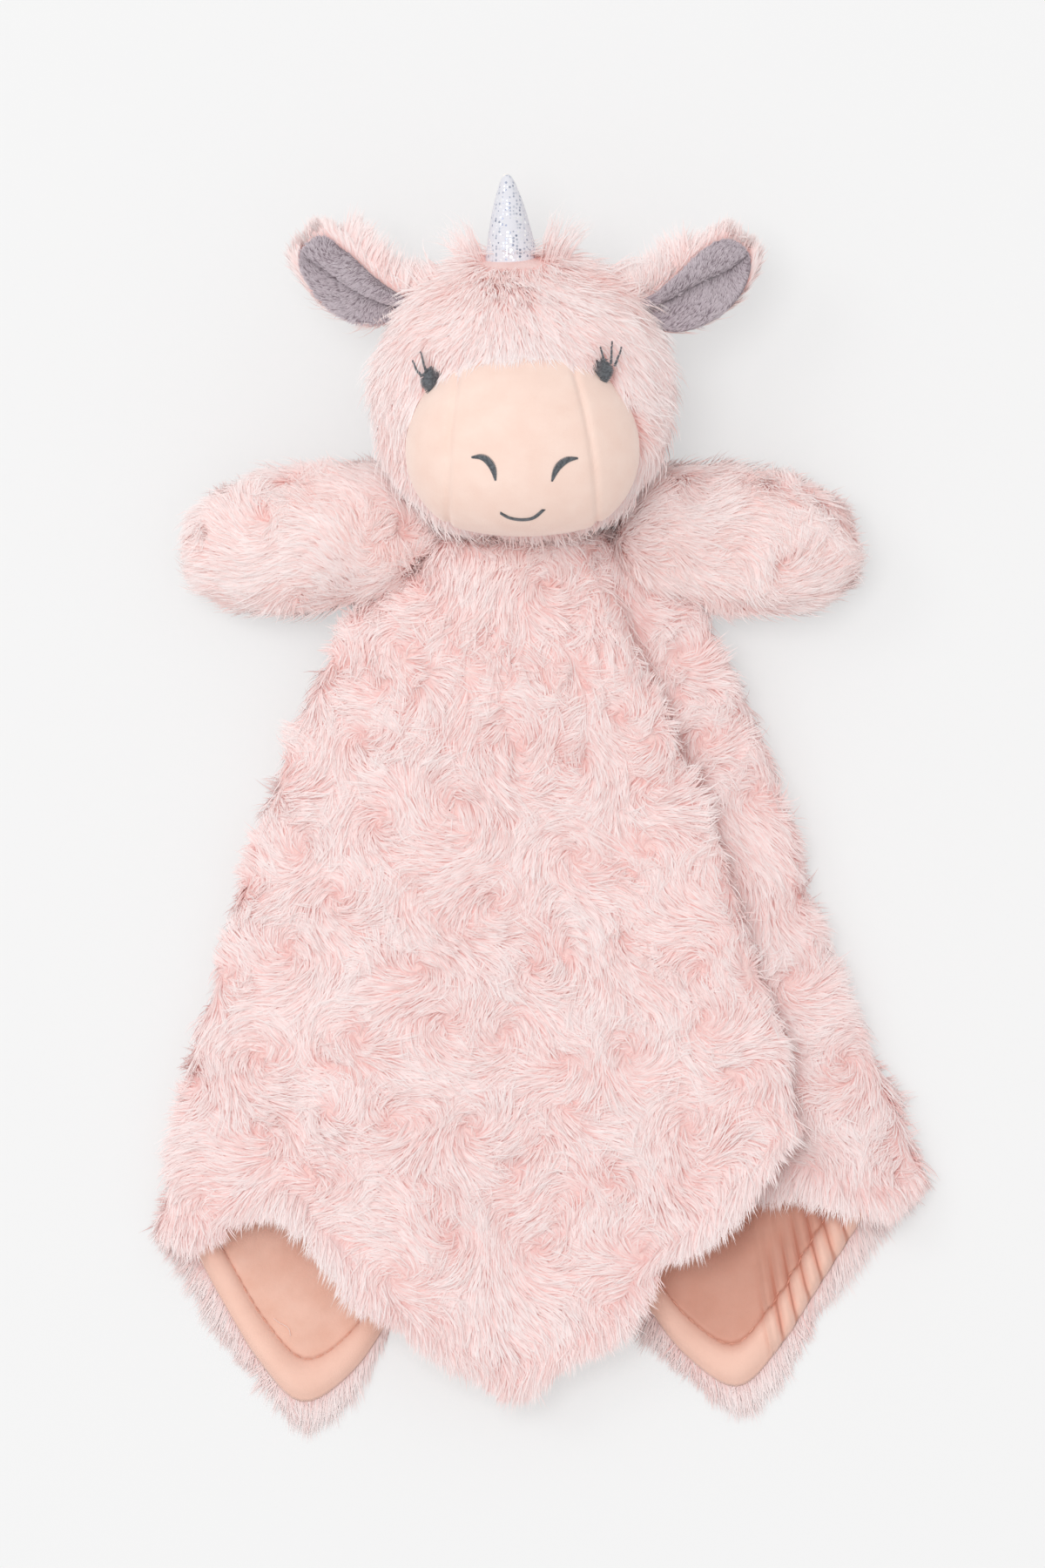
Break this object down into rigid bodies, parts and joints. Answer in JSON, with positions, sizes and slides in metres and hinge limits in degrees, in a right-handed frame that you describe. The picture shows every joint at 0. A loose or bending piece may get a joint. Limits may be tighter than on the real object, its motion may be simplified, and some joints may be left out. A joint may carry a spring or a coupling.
{
  "type": "comfort blanket",
  "caption": "Square fur and velour comfort blanket gathered under a stuffed unicorn's head with a horn, ears and two stuffed arms.",
  "frame": {"origin": "middle of the underside that the toy lies on", "axes": "+Y towards the horn, +Z the way the face looks, +X towards the toy's own left arm"},
  "size_m": [0.2214, 0.3564, 0.0874],
  "materials": {
    "pink_fur": "long rosette pile fur",
    "peach_velour": "short velour pile",
    "pale_velour": "short velour pile",
    "grey_nap": "short brushed nap",
    "glitter_cloth": "cloth printed with fine glitter dots",
    "peach_thread": "sewing thread",
    "charcoal_thread": "embroidery thread, satin stitch",
    "stuffing": "polyester fibre filling"
  },
  "bodies": {
    "blanket": {"blanket_fur_panel": "pink_fur", "blanket_lining": "peach_velour", "hem_topstitch": "peach_thread", "chest_filling": "stuffing"},
    "neck": {"neck_filling": "stuffing", "neck_gathering_thread": "peach_thread"},
    "head": {"head_face_panel": "pink_fur", "head_left_back_panel": "pink_fur", "head_right_back_panel": "pink_fur", "head_filling": "stuffing", "muzzle_centre_panel": "pale_velour", "muzzle_left_panel": "pale_velour", "muzzle_right_panel": "pale_velour", "muzzle_filling": "stuffing", "nostril_left": "charcoal_thread", "nostril_right": "charcoal_thread", "smile": "charcoal_thread", "eye_left": "charcoal_thread", "eye_right": "charcoal_thread", "lashes_left": "charcoal_thread", "lashes_right": "charcoal_thread", "horn_cover": "glitter_cloth", "horn_filling": "stuffing"},
    "ear_left": {"ear_left_back": "pink_fur", "ear_left_lining": "grey_nap"},
    "ear_right": {"ear_right_back": "pink_fur", "ear_right_lining": "grey_nap"},
    "arm_left": {"arm_left_sleeve": "pink_fur", "arm_left_filling": "stuffing"},
    "arm_right": {"arm_right_sleeve": "pink_fur", "arm_right_filling": "stuffing"}
  },
  "joints": [
    {"name": "head_nod", "type": "hinge", "parent": "blanket", "child": "neck", "pos_m": [-0.00527, 0.06456, 0.019], "axis": [1, 0, 0], "range_deg": [-20, 12]},
    {"name": "head_turn", "type": "hinge", "parent": "neck", "child": "head", "pos_m": [-0.00527, 0.08911, 0.02759], "axis": [0, 0.9439, 0.3304], "range_deg": [-30, 30]},
    {"name": "ear_left_flap", "type": "hinge", "parent": "head", "child": "ear_left", "pos_m": [-0.04439, 0.13997, 0.03996], "axis": [0.5446, 0.8387, 0], "range_deg": [-30, 75]},
    {"name": "ear_right_flap", "type": "hinge", "parent": "head", "child": "ear_right", "pos_m": [0.03475, 0.13861, 0.03996], "axis": [0.515, -0.8572, 0], "range_deg": [-30, 75]},
    {"name": "arm_left_fold", "type": "hinge", "parent": "blanket", "child": "arm_left", "pos_m": [-0.04533, 0.07648, 0.017], "axis": [0, 0.9962, 0.0872], "range_deg": [-25, 60]},
    {"name": "arm_right_fold", "type": "hinge", "parent": "blanket", "child": "arm_right", "pos_m": [0.03478, 0.07648, 0.017], "axis": [0, -0.9962, -0.0872], "range_deg": [-25, 60]}
  ]
}
